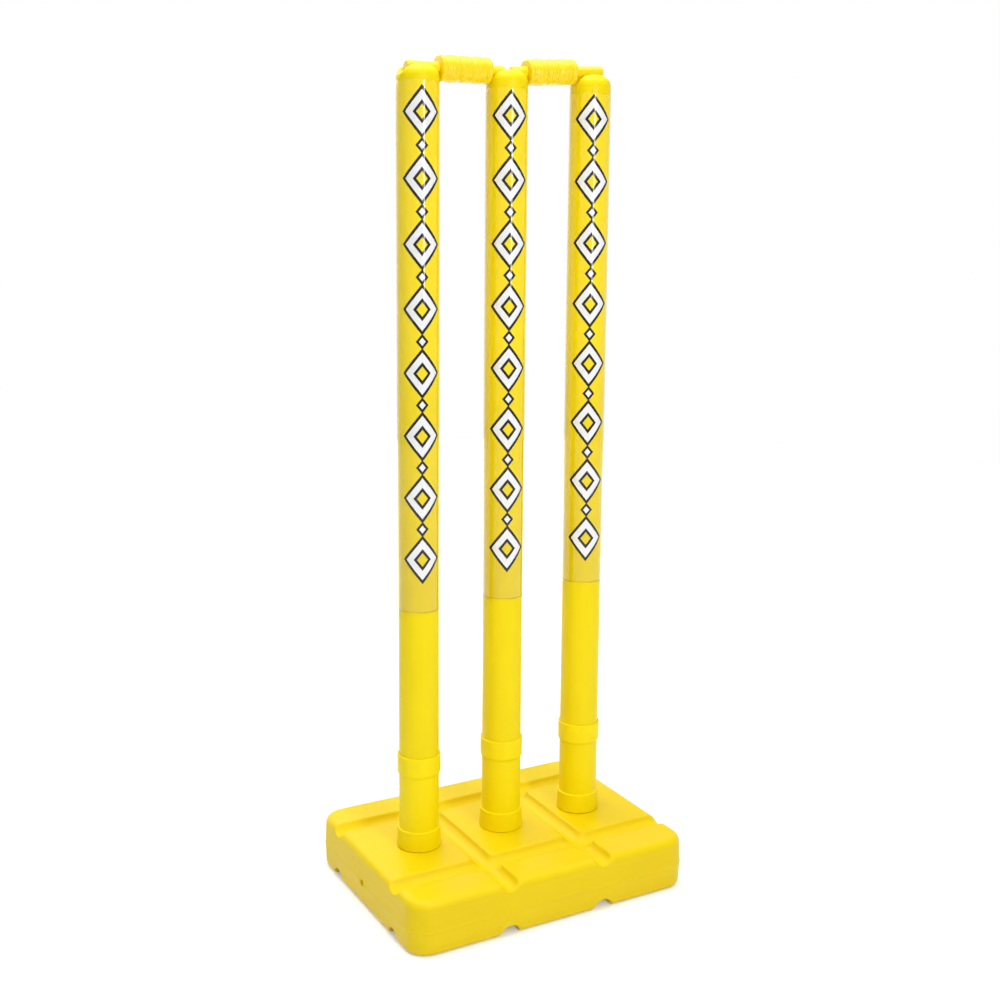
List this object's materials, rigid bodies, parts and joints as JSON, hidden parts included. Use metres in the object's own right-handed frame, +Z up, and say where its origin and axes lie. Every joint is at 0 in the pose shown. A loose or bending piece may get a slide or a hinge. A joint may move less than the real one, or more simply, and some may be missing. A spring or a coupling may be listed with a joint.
{
  "type": "free-standing cricket stumps",
  "caption": "Free-standing plastic wicket: upright stumps with domed, grooved tops stand in a heavy grooved base and carry turned bails.",
  "frame": {"origin": "middle of the base's underside, on the surface that it stands on", "axes": "+Z up along the stumps, +X along the wicket from the left stump to the right one, -Y towards the front"},
  "size_m": [0.292, 0.22, 0.7757],
  "materials": {
    "base_plastic": "blow-moulded yellow polyethylene, satin, with a faint parting line",
    "tube_plastic": "extruded and moulded yellow plastic, smooth satin",
    "sleeve_film": null,
    "bail_plastic": "injection-moulded yellow plastic, satin, with fine turned lines"
  },
  "bodies": {
    "base": {"base": "base_plastic"},
    "middle_stump": {"foot_middle": "tube_plastic", "stump_middle": "tube_plastic", "sleeve_middle": "sleeve_film"},
    "left_foot": {"foot_left": "tube_plastic"},
    "right_foot": {"foot_right": "tube_plastic"},
    "left_stump": {"stump_left": "tube_plastic", "sleeve_left": "sleeve_film"},
    "right_stump": {"stump_right": "tube_plastic", "sleeve_right": "sleeve_film"},
    "left_bail": {"bail_left": "bail_plastic"},
    "right_bail": {"bail_right": "bail_plastic"}
  },
  "joints": [
    {"name": "wicket_lift", "type": "slide", "parent": "base", "child": "middle_stump", "axis": [0, 0, 1], "range_m": [0, 0.045]},
    {"name": "foot_left_lift", "type": "slide", "parent": "middle_stump", "child": "left_foot", "axis": [0, 0, 1], "range_m": [0, 0.045]},
    {"name": "foot_right_lift", "type": "slide", "parent": "middle_stump", "child": "right_foot", "axis": [0, 0, 1], "range_m": [0, 0.045]},
    {"name": "stump_left_lift", "type": "slide", "parent": "left_foot", "child": "left_stump", "axis": [0, 0, 1], "range_m": [0, 0.06]},
    {"name": "stump_right_lift", "type": "slide", "parent": "right_foot", "child": "right_stump", "axis": [0, 0, 1], "range_m": [0, 0.06]},
    {"name": "bail_left_lift", "type": "slide", "parent": "left_stump", "child": "left_bail", "axis": [0, 0, 1], "range_m": [0, 0.04]},
    {"name": "bail_right_lift", "type": "slide", "parent": "right_stump", "child": "right_bail", "axis": [0, 0, 1], "range_m": [0, 0.04]}
  ]
}
